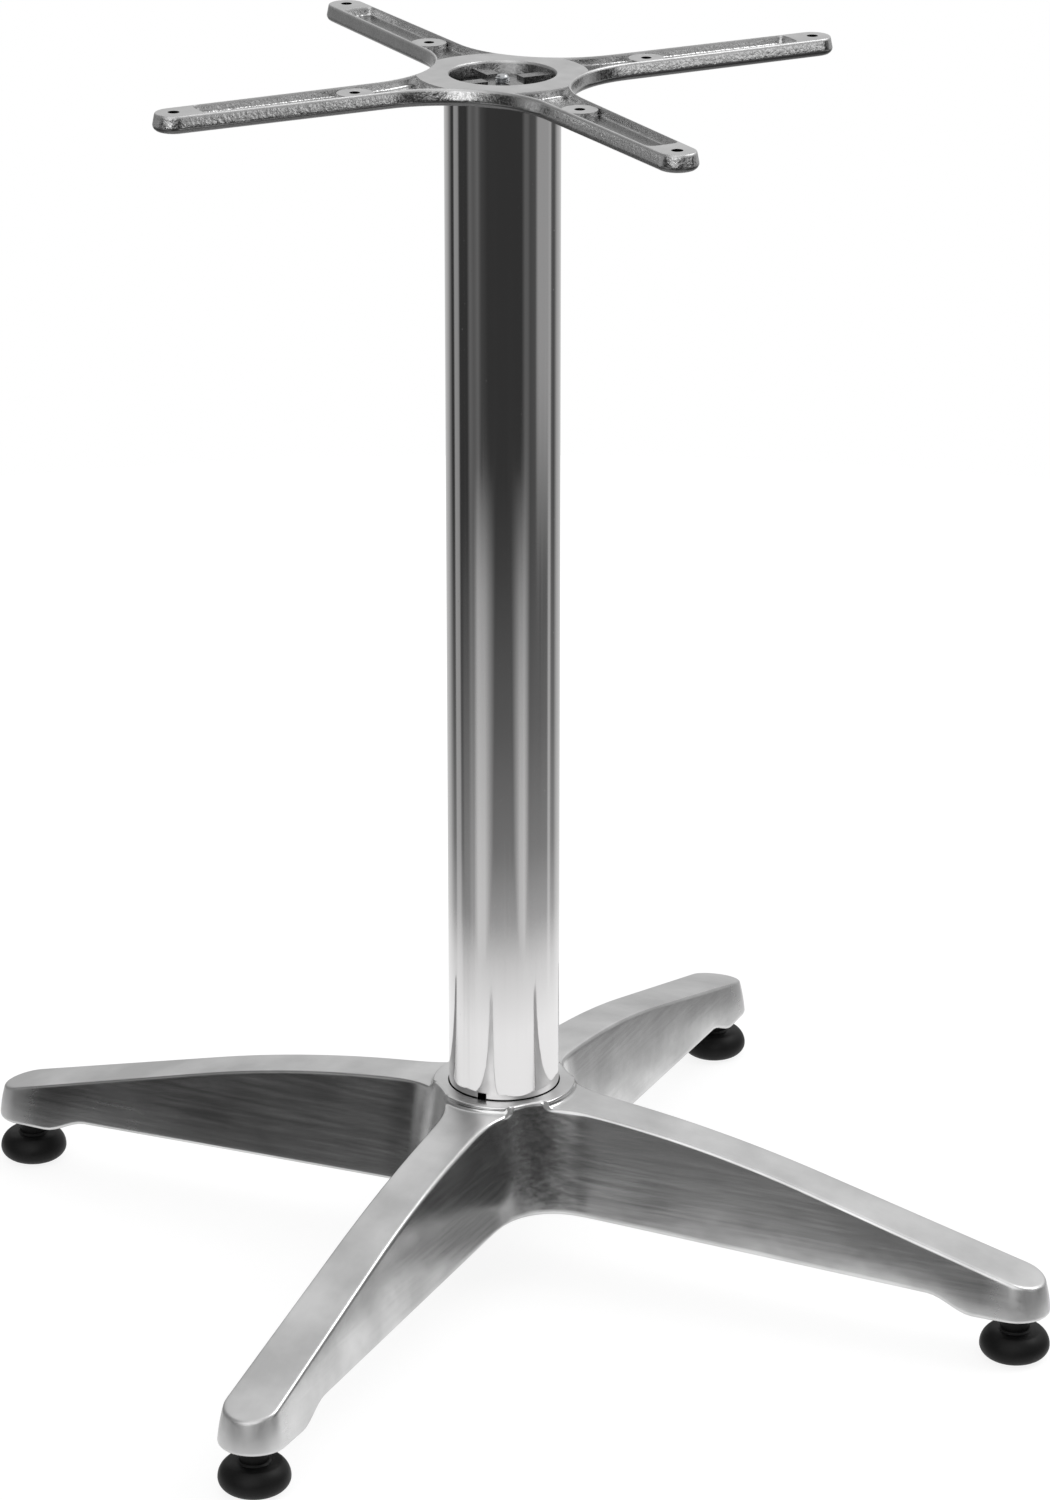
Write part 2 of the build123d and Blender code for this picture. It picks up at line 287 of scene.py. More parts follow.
def blackPlastic():  # moulded polypropylene: near black, satin, fine moulded texture
    look = plasticFinish
    material, tree, shader, coords = newMaterial("blackPolypropylene", look, 0.0, look["smooth"])
    shader["IOR"].default_value = look["ior"]  # a matt skin reflects little
    wear = {"Scale": perMetre(look["scuffSize"]), "Detail": 5}
    scuff = addNode(tree, "TexNoise", wear, {"Vector": coords})
    tint = addNode(tree, "MixRGB", {1: linear(look["colour"]), 2: linear(look["scuff"])}, {0: scuff})
    tree.links.new(tint, shader["Base Color"])
    matt = addNode(tree, "MapRange", {**noiseSpan, 3: look["smooth"], 4: look["matt"]}, {0: scuff})
    tree.links.new(matt, shader["Roughness"])
    grain = {"Scale": perMetre(look["texture"]), "Detail": 2}
    texture = addNode(tree, "TexNoise", grain, {"Vector": coords})
    lift = {"Strength": look["lift"], "Distance": look["depth"] * mm}
    tree.links.new(addNode(tree, "Bump", lift, {"Height": texture}), shader["Normal"])
    return material


castAluminium = polishedCasting()
tubeAluminium = polishedTube()
zincPlate = zincSteel()
footPlastic = blackPlastic()
print("materials made")


# Base casting, in mm: patches of one half leg, mirrored, then turned four times round the column

casting = {
    "tipLevel": 29.5, "tipHalf": 20.2, "rootHalf": 30.0, "footCircle": 323.5, "valley": 35.0, "draft": 10.0,
    "backApex": 110.5, "backRadius": 800.0, "backFall": 14.4, "backRound": 2.2, "crown": 0.35,
    "bellyLevel": 48.0, "bellyFall": 2.0, "stepStart": 276.0, "stepEnd": 305.0, "bottomRound": 2.2,
    "ease": 6.0, "easeReach": 22.0, "wall": 5.0, "footBoss": 15.0, "roofRound": 3.0,
    "collarRadius": 42.0, "collarLevel": 113.5, "collarBevel": 1.2, "collarFlare": 2.8,
    "socketRadius": 32.65, "socketLevel": 101.5, "socketWall": 5.5, "hubLevel": 92.5, "rodHole": 4.5,
    "studHole": 4.05, "studDepth": 16.5, "edge": 0.5,
    "valleySteps": 30, "rootSteps": 18, "nearSteps": 34, "farSteps": 14, "tipSteps": 16, "sideBreak": 268.0,
}
spine = [0, 0.07, 0.22, 0.4, 0.6, 0.8, 1]  # rows from the edge of a leg back to its middle
slant = tan(radians(casting["draft"]))


def backHeight(radius, depth=0):  # leg backs, or the hollow's roof a wall below
    fall = radians(casting["backFall"])
    reach = casting["backRadius"] - depth
    centre = casting["backApex"] - casting["backRadius"]
    bend = reach * sin(fall)
    if radius < bend:
        return centre + sqrt(reach ** 2 - radius ** 2)
    return centre + reach * cos(fall) - (radius - bend) * tan(fall)


def topHeight(radius):  # leg backs with the collar
    flare, rim = casting["collarFlare"], casting["collarBevel"]
    foot = casting["collarRadius"] + flare
    if radius >= foot:
        return backHeight(radius)
    if radius >= casting["collarRadius"]:
        return backHeight(foot) + flare - sqrt(flare ** 2 - (foot - radius) ** 2)
    inner = casting["collarRadius"] - rim
    if radius > inner:
        return casting["collarLevel"] - rim + sqrt(rim ** 2 - (radius - inner) ** 2)
    return casting["collarLevel"]


def roofHeight(radius):  # roof of the hollow, with the socket's boss hanging from it
    if radius < casting["socketRadius"] + casting["socketWall"]:
        return casting["hubLevel"]
    return backHeight(radius, casting["wall"])


def bellyHeight(radius):  # underside: the belly, then an S-shaped step to the sole
    ratio = tan(radians(casting["bellyFall"]))
    start, end = casting["stepStart"], casting["stepEnd"]
    if radius <= start:
        return casting["bellyLevel"] - radius * ratio
    share = min(1, (radius - start) / (end - start))
    drop = casting["bellyLevel"] - start * ratio - casting["tipLevel"]
    return casting["tipLevel"] + drop * (1 - share * share * (3 - 2 * share))


def halfPlan(rootHalf, endRadius, endAt, valley):  # points and inward normals, valley to tip
    lean = asin((rootHalf - endRadius) / endAt)
    inward = Vector((-sin(lean), -cos(lean)))
    diagonal = (rootHalf + valley) / (sin(lean) + cos(lean))
    points = []
    for step in range(casting["valleySteps"]):
        angle = 1.25 * pi + step / casting["valleySteps"] * (pi / 4 - lean)
        normal = Vector((cos(angle), sin(angle)))
        points.append((Vector((diagonal, diagonal)) + valley * normal, normal))
    shoulder = Vector((diagonal, diagonal)) + valley * inward
    tip = Vector((endAt, 0)) - endRadius * inward
    middle = shoulder.lerp(tip, (casting["sideBreak"] - shoulder.x) / (tip.x - shoulder.x))
    for start, end, steps, bias in (
        (shoulder, middle, casting["nearSteps"], 1.5), (middle, tip, casting["farSteps"], 1),
    ):
        points += [(start.lerp(end, (step / steps) ** bias), inward) for step in range(steps)]
    for step in range(casting["tipSteps"] + 1):
        angle = (pi / 2 - lean) * (1 - step / casting["tipSteps"])
        normal = Vector((-cos(angle), -sin(angle)))
        points.append((Vector((endAt, 0)) - endRadius * normal, normal))
    return eased(points)


def eased(points):  # the valley's curve runs out gently into the side, as a filed pattern does
    run = [0.0]
    for (last, _), (point, _) in zip(points, points[1:]):
        run.append(run[-1] + (point - last).length)
    corner = run[casting["valleySteps"]]
    shares = [max(0, 1 - abs(place - corner) / casting["easeReach"]) for place in run]
    moved = []
    for index, (point, normal) in enumerate(points):
        total, weight = Vector((0, 0)), 0.0
        if shares[index] and index:
            for other in range(1, len(points) - 1):
                gap = (run[other] - run[index]) / casting["ease"]
                part = exp(-gap ** 2 / 2) * (run[other + 1] - run[other - 1])
                total += points[other][0] * part
                weight += part
            point = point.lerp(total / weight, shares[index])
        moved.append(point)
    result = [(moved[0], points[0][1])]
    for index in range(1, len(points) - 1):
        normal = points[index][1]
        if shares[index]:
            run2d = moved[index + 1] - moved[index - 1]
            normal = Vector((run2d.y, -run2d.x)).normalized()
            normal = normal if normal.dot(points[index][1]) > 0 else -normal
        result.append((moved[index], normal))
    return result + [points[-1]]


def onWall(point, normal, level):  # a point of the leaning wall at this level
    place = point + normal * (level - casting["tipLevel"]) * slant
    return Vector((place.x, place.y, level))


def meetWall(point, normal, height):  # where the wall meets a surface of revolution
    low, high = casting["tipLevel"] - 5, casting["collarLevel"] + 5
    for halving in range(40):
        level = (low + high) / 2
        place = onWall(point, normal, level)
        if level < height(hypot(place.x, place.y)):
            low = level
        else:
            high = level
    return place


def lifted(place, height):  # a plan point set on a surface of revolution
    return Vector((place.x, place.y, height(hypot(place.x, place.y))))


def rounded(start, corner, end, steps):  # a soft edge through three points
    shares = [step / steps for step in range(steps + 1)]
    return [start * (1 - t) ** 2 + corner * 2 * t * (1 - t) + end * t * t for t in shares]


def edgeRound(point, normal, height, size, down):  # from the wall, round its edge, on to the surface
    corner = meetWall(point, normal, height)
    wallEnd = onWall(point, normal, corner.z - down * size)
    inner = lifted(corner.to_2d() + normal * size, height)
    return rounded(wallEnd, corner, inner, 5)


def gridPatch(rows):  # a grid primitive laid on rows of points
    columns, lines = len(rows[0]) - 1, len(rows) - 1
    bpy.ops.mesh.primitive_grid_add(x_subdivisions=columns, y_subdivisions=lines, size=1)
    patch = bpy.context.object
    for vertex in patch.data.vertices:
        column = round((vertex.co.x + 0.5) * columns)
        line = round((vertex.co.y + 0.5) * lines)
        vertex.co = rows[line][column] * mm
    return patch


def legPatch(edge, first, endAt, height):  # a leg's back or roof, from its edge to its middle line
    start, last = edge[first], edge[-1 - casting["tipSteps"]]
    reach = hypot(start.x, start.y)
    turn = atan2(start.y, start.x)
    rows = []
    for point in edge[first:]:
        share = (point.x - start.x) / (last.x - start.x)
        middle = min(endAt, reach + share * (endAt - reach))
        row = []
        for step in spine:
            narrow = sin(turn * (1 - step)) / sin(turn)
            bow = narrow if share >= 1 else (1 - cos(turn * (1 - step))) / (1 - cos(turn))
            row.append(lifted(Vector((middle + (point.x - middle) * bow, point.y * narrow)), height))
        rows.append(row)
    return gridPatch(rows)


def hubPatches(edge, first, rings, height, evenFrom):  # rings of radius and level, clipped by the valley
    starts = [(point, hypot(point.x, point.y), atan2(point.y, point.x)) for point in edge[:first + 1]]
    reach, turn = starts[first][1:]
    rootStarts = [(None, reach, turn * (1 - step)) for step in spine]
    count = first + len(spine) - 1
    patches = []
    for offset, group in ((0, starts), (first, rootStarts)):
        rows = []
        for index, (point, limit, angle) in enumerate(group):
            evenAngle = pi / 4 * (1 - (offset + index) / count)
            row = [lifted(Vector((limit * cos(angle), limit * sin(angle))), height)]
            for number, (radius, level) in enumerate(rings):
                if radius > limit - 0.02:
                    row.append(row[0])
                    continue
                share = min(1, max(0, number - evenFrom + 1) / 3)
                place = angle + (evenAngle - angle) * share
                row.append(Vector((radius * cos(place), radius * sin(place), level)))
            rows.append(row)
        patches.append(gridPatch(rows))
    return patches


def skinRows(outer, hollow):  # over the edge, down the wall, round the rim and up the hollow's wall
    rows = []
    for (point, normal), (innerPoint, innerNormal) in zip(outer, hollow):
        top = edgeRound(point, normal, topHeight, casting["backRound"], 1)[::-1]
        bottom = edgeRound(point, normal, bellyHeight, casting["bottomRound"], -1)
        roof = edgeRound(innerPoint, innerNormal, roofHeight, casting["roofRound"], 1)
        rimEnd = meetWall(innerPoint, innerNormal, bellyHeight)
        wall = [
            top[-1].lerp(bottom[0], share) - normal.to_3d() * casting["crown"] * 4 * share * (1 - share)
            for share in (0.03, 0.12, 0.25, 0.4, 0.5, 0.6, 0.75, 0.88, 0.97)
        ]
        rim = [lifted(bottom[-1].lerp(rimEnd, share / 8), bellyHeight) for share in range(1, 9)]
        inside = [rimEnd.lerp(roof[0], share) for share in (0.03, 0.35, 0.65, 0.97)]
        rows.append(top + wall + bottom + rim + inside + roof)
    return rows


def baseCasting():
    c = casting
    outer = halfPlan(c["rootHalf"], c["tipHalf"], c["footCircle"], c["valley"])
    hollowEnd = c["tipHalf"] - c["wall"]
    hollowAt = c["footCircle"] - c["footBoss"] - hollowEnd
    hollow = halfPlan(c["rootHalf"] - c["wall"], hollowEnd, hollowAt, c["valley"] + c["wall"])
    rows = skinRows(outer, hollow)
    topEdge = [row[0] for row in rows]
    roofEdge = [row[-1] for row in rows]
    first = c["rootSteps"]

    foot = c["collarRadius"] + c["collarFlare"]
    inner = c["collarRadius"] - c["collarBevel"]
    bend = c["collarFlare"]
    flare = arc((foot, backHeight(foot) + bend), bend, bend, 270, 180, 6)
    rim = arc((inner, c["collarLevel"] - c["collarBevel"]), c["collarBevel"], c["collarBevel"], 0, 90, 5)
    seat, edge = c["socketRadius"], c["edge"]
    topRings = flare + rim + [
        (38, c["collarLevel"]), (seat + edge, c["collarLevel"]), (seat, c["collarLevel"] - edge),
        (seat, c["socketLevel"]), (c["rodHole"], c["socketLevel"]), (c["rodHole"], c["hubLevel"]),
    ]
    boss = seat + c["socketWall"]
    roofRings = [
        (boss + edge, roofHeight(boss + edge)), (boss, roofHeight(boss + edge) - edge),
        (boss, c["hubLevel"] + edge), (boss - edge, c["hubLevel"]), (seat, c["hubLevel"]),
        (20, c["hubLevel"]), (c["rodHole"], c["hubLevel"]),
    ]
    patches = [gridPatch(rows)]
    patches.append(legPatch(topEdge, first, c["footCircle"], topHeight))
    patches.append(legPatch(roofEdge, first, hollowAt, roofHeight))
    patches += hubPatches(topEdge, first, topRings, topHeight, len(flare + rim))
    patches += hubPatches(roofEdge, first, roofRings, roofHeight, 3)
    piece = fuse(patches, "base_casting_skin")
    clean(piece)
    modify(piece, "MIRROR", use_axis=(False, True, False), merge_threshold=0.01 * mm)

    pick(piece)
    bpy.ops.object.mode_set(mode="EDIT")
    bpy.ops.mesh.select_all(action="SELECT")
    bpy.ops.mesh.spin(steps=3, dupli=True, angle=1.5 * pi, center=(0, 0, 0), axis=(0, 0, 1))
    bpy.ops.object.mode_set(mode="OBJECT")
    return clean(piece)


def drillStuds(piece):  # a hole in the sole of each leg
    for quarter in range(4):
        angle = quarter * pi / 2
        reach = casting["footCircle"] * mm
        depth = casting["studDepth"] * mm
        bpy.ops.mesh.primitive_cylinder_add(
            vertices=48, radius=casting["studHole"] * mm, depth=2 * depth,
            location=(reach * cos(angle), reach * sin(angle), casting["tipLevel"] * mm),
        )
        carve(piece, bpy.context.object)
    return piece


base = drillStuds(baseCasting())
settle(base)
finish(base, "stand", "base_aluminium", castAluminium, "base_casting")
print("base casting:", len(base.data.polygons), "faces")


# Column tube with its notch

column = {"radius": 32.5, "wall": 2.0, "bottom": 101.5, "top": 710.0, "segments": 224,
          "notchWidth": 5.5, "notchTop": 117.5, "notchAt": 271.5}


def columnTube():
    c = column
    length = (c["top"] - c["bottom"]) * mm
    pick(base)
    bpy.ops.mesh.primitive_cylinder_add(
        vertices=c["segments"], radius=c["radius"] * mm, depth=length, end_fill_type="NOTHING",
        location=(0, 0, c["bottom"] * mm + length / 2),
    )
    tube = named("column_tube_polished")
    bpy.ops.object.transform_apply(location=True)
    clean(tube)
    modify(tube, "SOLIDIFY", thickness=c["wall"] * mm, offset=-1)
    reach = c["radius"] * mm
    bpy.ops.mesh.primitive_cube_add(size=1, location=(reach, 0, (c["bottom"] + c["notchTop"]) / 2 * mm))
    notch = bpy.context.object
    notch.scale = (reach, c["notchWidth"] * mm, (c["notchTop"] - c["bottom"]) * mm)
    bpy.ops.object.transform_apply(location=True, scale=True)
    notch.rotation_euler.z = radians(c["notchAt"])
    bpy.ops.object.transform_apply(rotation=True)
    carve(tube, notch)
    return settle(tube, 30)


tube = finish(columnTube(), "stand", "column_aluminium", tubeAluminium, "column_tube")
print("column:", len(tube.data.polygons), "faces")


# Top spider, cast in one: body, channels, cup and bosses, then the drilled holes

spiderCast = {
    "turn": 52.3, "top": 720.0, "bottom": 710.0, "rootHalf": 14.0, "tipRadius": 12.0, "reach": 198.0,
    "corner": 61.0,
    "side": [(3.5, 710), (2.3, 710.4), (1.2, 711.3), (0.6, 712.3), (0.37, 713.2), (0.4, 713.8),
             (0.67, 715.2), (0.98, 716.8), (1.3, 718.4), (1.55, 719.3), (1.9, 719.8), (2.3, 720)],
    "rim": 3.0, "channelStart": 48.0, "channelEnd": 184.0, "channelNose": 7.0,
    "wall": [(2.4, 715), (1.4, 715.1), (0.75, 715.5), (0.45, 716.2), (0.05, 718.8), (-0.05, 719.5),
             (-0.25, 720), (-0.8, 721)],
    "cup": [(24.5, 710), (26.6, 710.3), (27.6, 711), (28.1, 712), (29.7, 719.2), (30.3, 720), (31.3, 721)],
    "spigot": 30.35, "spigotFoot": 704.0, "boss": 12.0, "bossTop": 715.0, "webHalf": 4.0, "webTop": 717.0,
    "pad": 10.0, "padTop": 718.8, "rodHole": 4.05, "holes": ((90.5, 2.75), (198.0, 3.0)), "segments": 96,
}


sandFinish = {  # grit is drawn coarser than the real blast, which is too fine to show
    # the last three colours are painted shade: in the cup and on the channel floors, on the down-facing
    # lower band, which also has less grit, and in the drilled holes
    "colour": "#DFDFDF", "dark": "#C1C1C1", "sunk": "#8C8C8C", "underShade": "#686868", "boreShade": "#1E1E1E",
    "patch": 14, "shiny": 0.16, "dull": 0.4, "glintFrom": 0.42, "glintFull": 0.58, "linished": 0.46,
    "sideShine": 0.65, "grit": 2.4, "gritLift": 0.26, "fine": 1.1, "fineLift": 0.18, "gritDepth": 0.6,
    "taper": 0.0101, "floorFrom": 0.6, "floorFull": 0.9, "flatFrom": 0.75, "flatFull": 0.95,
    "flatRelief": 0.3, "relief": {"underShade": 0.4, "face": 0.2, "outside": 0.4},
    "zones": {  # where each begins and where it is full, in mm
        # the bore zones find the drilled holes, which are darkened near black as painted shade
        "innerBore": (3.1, 2.85), "outerBore": (3.35, 3.1), "pad": (10.0, 9.4), "padTop": (718.0, 718.3),
        "top": (718.5, 718.9), "belowTop": (718.9, 718.5), "cup": (30.0, 29.6), "low": (717.3, 716.9),
        "underShade": (713.2, 712.8), "outside": (11.2, 11.6),
    },
}


def spiderZones(tree, coords, upward):  # how far each point lies in the bores, faces, sunk floors and sides
    level = addNode(tree, "SeparateXYZ", {}, {0: coords}, "Z")
    turnBack = {"rotation_type": "Z_AXIS", "Angle": -radians(spiderCast["turn"])}
    armCoords = addNode(tree, "VectorRotate", turnBack, {"Vector": coords})
    folded = addNode(tree, "VectorMath", {"operation": "ABSOLUTE"}, {0: armCoords})
    sides = {index: addNode(tree, "SeparateXYZ", {}, {0: folded}, index) for index in (0, 1)}
    along = addNode(tree, "Math", {"operation": "MAXIMUM"}, sides)
    across = addNode(tree, "Math", {"operation": "MINIMUM"}, sides)
    place = addNode(tree, "CombineXYZ", {}, {"X": along, "Y": across})  # all four arms folded on to one
    taper = {"operation": "MULTIPLY_ADD", 1: sandFinish["taper"]}
    half = addNode(tree, "Math", taper, {0: along, 2: across})
    inner, outer = [circle for circle, radius in spiderCast["holes"]]
    offAxis, offInner, offOuter = [
        addNode(tree, "VectorMath", {"operation": "DISTANCE", 1: (spot * mm, 0, 0)}, {0: place}, "Value")
        for spot in (0, inner, outer)
    ]
    measures = {
        "innerBore": offInner, "outerBore": offOuter, "pad": offInner, "cup": offAxis, "outside": half
    }
    zones = {}
    for name, (start, full) in sandFinish["zones"].items():
        measure = measures.get(name, level)
        zones[name] = addNode(tree, "MapRange", {1: start * mm, 2: full * mm}, {0: measure})
    floors = {1: sandFinish["floorFrom"], 2: sandFinish["floorFull"]}
    zones["flat"] = addNode(tree, "MapRange", floors, {0: upward})
    for name, operation, first, second in (
        ("boreShade", "MAXIMUM", "innerBore", "outerBore"), ("padFace", "MULTIPLY", "pad", "padTop"),
        ("face", "MAXIMUM", "top", "padFace"), ("inCup", "MULTIPLY", "cup", "belowTop"),
        # the cup and the low, upward-facing floors make the sunk zone, darkened as painted shade of these
        # recesses
        ("floor", "MULTIPLY", "low", "flat"), ("sunk", "MAXIMUM", "inCup", "floor"),
    ):
        zones[name] = addNode(tree, "Math", {"operation": operation}, {0: zones[first], 1: zones[second]})
    return zones


def sandCasting():  # sand-cast aluminium, shot-blasted: sparkling grit, dull linished faces, painted shade darkening the holes, the sunk floors and the lower band
    look = sandFinish
    material, tree, shader, coords = newMaterial("shotBlastedCastAluminium", look, 1.0, look["dull"])
    normal = addNode(tree, "NewGeometry", {}, None, "Normal")
    upward = addNode(tree, "SeparateXYZ", {}, {0: normal}, "Z")
    zones = spiderZones(tree, coords, upward)
    patch = addNode(tree, "TexNoise", {"Scale": perMetre(look["patch"]), "Detail": 5}, {"Vector": coords})
    tint = addNode(tree, "MixRGB", {1: linear(look["colour"]), 2: linear(look["dark"])}, {0: patch})
    # painted shade: darker in the cup and on the channel floors, much darker on the down-facing lower band,
    # near black in the drilled holes
    for name in ("sunk", "underShade", "boreShade"):
        tint = addNode(tree, "MixRGB", {2: linear(look[name])}, {0: zones[name], 1: tint})
    tree.links.new(tint, shader["Base Color"])
    grain = addNode(tree, "TexNoise", {"Scale": perMetre(look["fine"]), "Detail": 1}, {"Vector": coords})
    sparkle = {1: look["glintFrom"], 2: look["glintFull"], 3: look["shiny"], 4: look["dull"]}
    glint = addNode(tree, "MapRange", sparkle, {0: grain})
    fettled = addNode(tree, "MapRange", {3: 1.0, 4: look["sideShine"]}, {0: zones["outside"]})
    glint = addNode(tree, "Math", {"operation": "MULTIPLY"}, {0: glint, 1: fettled})
    rough = addNode(tree, "MapRange", {4: look["linished"]}, {0: zones["face"], 3: glint})
    tree.links.new(rough, shader["Roughness"])
    flats = {1: look["flatFrom"], 2: look["flatFull"], 3: 1.0, 4: look["flatRelief"]}
    relief = addNode(tree, "MapRange", flats, {0: upward})
    for name, left in look["relief"].items():
        calm = addNode(tree, "MapRange", {3: 1.0, 4: left}, {0: zones[name]})
        relief = addNode(tree, "Math", {"operation": "MULTIPLY"}, {0: relief, 1: calm})
    links = {}
    for size, lift in ((look["grit"], look["gritLift"]), (look["fine"], look["fineLift"])):
        grit = {"Scale": perMetre(size), "Detail": 2, "Roughness": 0.55}
        links["Height"] = addNode(tree, "TexNoise", grit, {"Vector": coords})
        links["Strength"] = addNode(tree, "Math", {"operation": "MULTIPLY", 1: lift}, {0: relief})
        links["Normal"] = addNode(tree, "Bump", {"Distance": look["gritDepth"] * size * mm}, links)
    tree.links.new(links["Normal"], shader["Normal"])
    return material


def ringSkin(name, rings):  # closed skin through rings of points, in mm: a grid rolled up and capped
    gridPatch([[Vector(point) for point in ring + ring[:1]] for ring in rings])
    return cap(clean(named(name)))


def spun(points, turn, level):  # plan points turned about the axis and lifted, in mm
    c, s = cos(radians(turn)), sin(radians(turn))
    return [(x * c - y * s, x * s + y * c, level) for x, y in points]


def starSides(inset):  # sides of an arm and the round between two arms, all moved in
    c = spiderCast
    root, tip, corner = c["rootHalf"] - inset, c["tipRadius"] - inset, c["corner"] + inset
    lean = asin((root - tip) / c["reach"])
    return root, tip, corner, lean, (root + corner) / (sin(lean) + cos(lean))


def starRing(inset, level):  # outline of all four arms
    root, tip, corner, lean, middle = starSides(inset)
    tilt = lean * 180 / pi
    end = arc((spiderCast["reach"], 0), tip, tip, tilt - 90, 90 - tilt, 16)
    valley = arc((middle, middle), corner, corner, 270 - tilt, 180 + tilt, 24)
    turns = [spiderCast["turn"] + quarter for quarter in (0, 90, 180, 270)]
    return [point for turn in turns for point in spun(end + valley, turn, level)]


def channelHalf(along, inset):  # half width of a channel
    root, tip, corner, lean, middle = starSides(spiderCast["rim"] + inset)
    if along < middle - corner * sin(lean):
        return middle - sqrt(corner ** 2 - (along - middle) ** 2)
    return (root - along * sin(lean)) / cos(lean)


def channelRing(inset, level):  # outline of the channel in the first arm, round at both ends
    c = spiderCast
    start, end = c["channelStart"] + inset, c["channelEnd"] - inset
    inner = start
    for trial in range(12):  # closes in on where the inner end meets the sides
        inner = sqrt(start ** 2 - channelHalf(inner, inset) ** 2)
    nose = end - c["channelNose"]
    straight = [inner + (nose - inner) * step / 30 for step in range(31)]
    side = [(along, channelHalf(along, inset)) for along in straight]
    for step in range(1, 10):
        share = sin(pi / 2 * step / 9.5)
        side.append((nose + c["channelNose"] * share, channelHalf(nose, inset) * (1 - share ** 4) ** 0.25))
    half = atan2(side[0][1], side[0][0]) * 180 / pi
    back = arc((0, 0), start, start, half, -half, 12)
    return spun(side[::-1] + back[1:-1] + [(x, -y) for x, y in side], c["turn"], level)


def drum(radius, bottom, top, along=0.0, segments=48):  # a round peg or drill in the first arm's direction
    c = spiderCast
    peg = turned("drum", [(radius, bottom), (radius, top)], segments)
    peg.location = Vector((cos(radians(c["turn"])), sin(radians(c["turn"])), 0)) * along * mm
    return peg


def quarterTurns(model):  # the model and three copies of it about the axis
    pick(model)
    bpy.ops.object.transform_apply(location=True, rotation=True, scale=True)
    tools = [model] + [copyMesh(model, f"{model.name}_{turn}") for turn in (90, 180, 270)]
    for turn, tool in zip((0, 90, 180, 270), tools):
        tool.rotation_euler.z = radians(turn)
    return tools


def topSpider():
    c = spiderCast
    piece = ringSkin("top_spider_cast", [starRing(inset, level) for inset, level in c["side"]])
    channel = ringSkin("channel", [channelRing(inset, level) for inset, level in c["wall"]])
    for tool in quarterTurns(channel):
        carve(piece, tool)
    carve(piece, drum(c["spigot"], c["spigotFoot"], c["bottom"] + 1), "UNION")
    carve(piece, turned("cup", c["cup"], c["segments"]))
    carve(piece, drum(c["boss"], c["bottom"] - 1, c["bossTop"]), "UNION")
    bpy.ops.mesh.primitive_cube_add(size=1)
    web = named("web")
    length = c["cup"][-2][0] - c["boss"] + 2
    web.scale = (length * mm, 2 * c["webHalf"] * mm, (c["webTop"] - c["bottom"] + 1) * mm)
    middle = (c["boss"] + length / 2 - 1) * mm
    web.location = (middle * cos(radians(c["turn"])), middle * sin(radians(c["turn"])),
                    (c["webTop"] + c["bottom"] - 1) / 2 * mm)
    web.rotation_euler.z = radians(c["turn"])
    screwPad = drum(c["pad"], c["bottom"] + 1, c["padTop"], c["holes"][0][0])
    for tool in quarterTurns(web) + quarterTurns(screwPad):
        carve(piece, tool, "UNION")
    drills = [drum(c["rodHole"], c["spigotFoot"] - 5, c["top"] + 5)]
    for circle, radius in c["holes"]:
        drills += quarterTurns(drum(radius, c["bottom"] - 5, c["top"] + 5, circle, 32))
    carve(piece, fuse(drills, "drills"))
    settle(clean(piece, 0.004 * mm), 40)
    return modify(piece, "WEIGHTED_NORMAL", keep_sharp=True, weight=80)


sandAluminium = sandCasting()
spider = finish(topSpider(), "stand", "spider_aluminium", sandAluminium, "top_spider")
print("spider:", len(spider.data.polygons), "faces")


# Threaded rods

thread = {"pitch": 1.25, "depth": 0.7, "half": 0.42, "sunk": 0.1, "segments": 28, "coreSegments": 40}


def threadRidge(radius, bottom, top):  # a helical ridge on a rod, in mm
    t = thread
    turns = int((top - bottom) / t["pitch"])
    root, half = radius - t["depth"] - t["sunk"], t["pitch"] * t["half"]
    bpy.ops.mesh.primitive_circle_add(vertices=3, radius=1 * mm)
    ridge = bpy.context.object
    corners = [(root, 0), (radius, half), (root, 2 * half)]
    for vertex, (x, z) in zip(ridge.data.vertices, corners):
        vertex.co = (x * mm, 0, (bottom + z) * mm)
    modify(ridge, "SCREW", axis="Z", angle=2 * pi, screw_offset=t["pitch"] * mm, iterations=turns,
           steps=t["segments"], render_steps=t["segments"], use_merge_vertices=False)
    return cap(ridge, 4)


def threadedRod(name, radius, bottom, top, chamfer, ridges):  # a core with ridges between pairs of levels
    core = radius - thread["depth"]
    profile = [
        (core - chamfer, bottom), (core, bottom + chamfer), (core, top - chamfer), (core - chamfer, top),
    ]
    rod = turned(name, profile, thread["coreSegments"])
    return fuse([rod] + [threadRidge(radius, low, high) for low, high in ridges], name)


tieRod = {
    "radius": 4.0, "bottom": 79.0, "top": 719.0, "chamfer": 0.6, "threadLow": 118.0, "threadHigh": 690.0,
}
rod = threadedRod(
    "tie_rod_threaded", tieRod["radius"], tieRod["bottom"], tieRod["top"], tieRod["chamfer"],
    [(tieRod["bottom"] + tieRod["chamfer"], tieRod["threadLow"]),
     (tieRod["threadHigh"], tieRod["top"] - tieRod["chamfer"])],
)
finish(settle(rod), "stand", "zinc_steel", zincPlate, "tie_rod")

stud = {"radius": 4.0, "bottom": 9.1, "top": 44.5, "chamfer": 0.6}
pad = {
    "radius": 20.3, "widest": 8.0, "rest": 10.0, "crown": 11.0, "sweep": 60.0, "neck": 8.5, "top": 29.1,
    "soft": 1.0, "segments": 96,
}


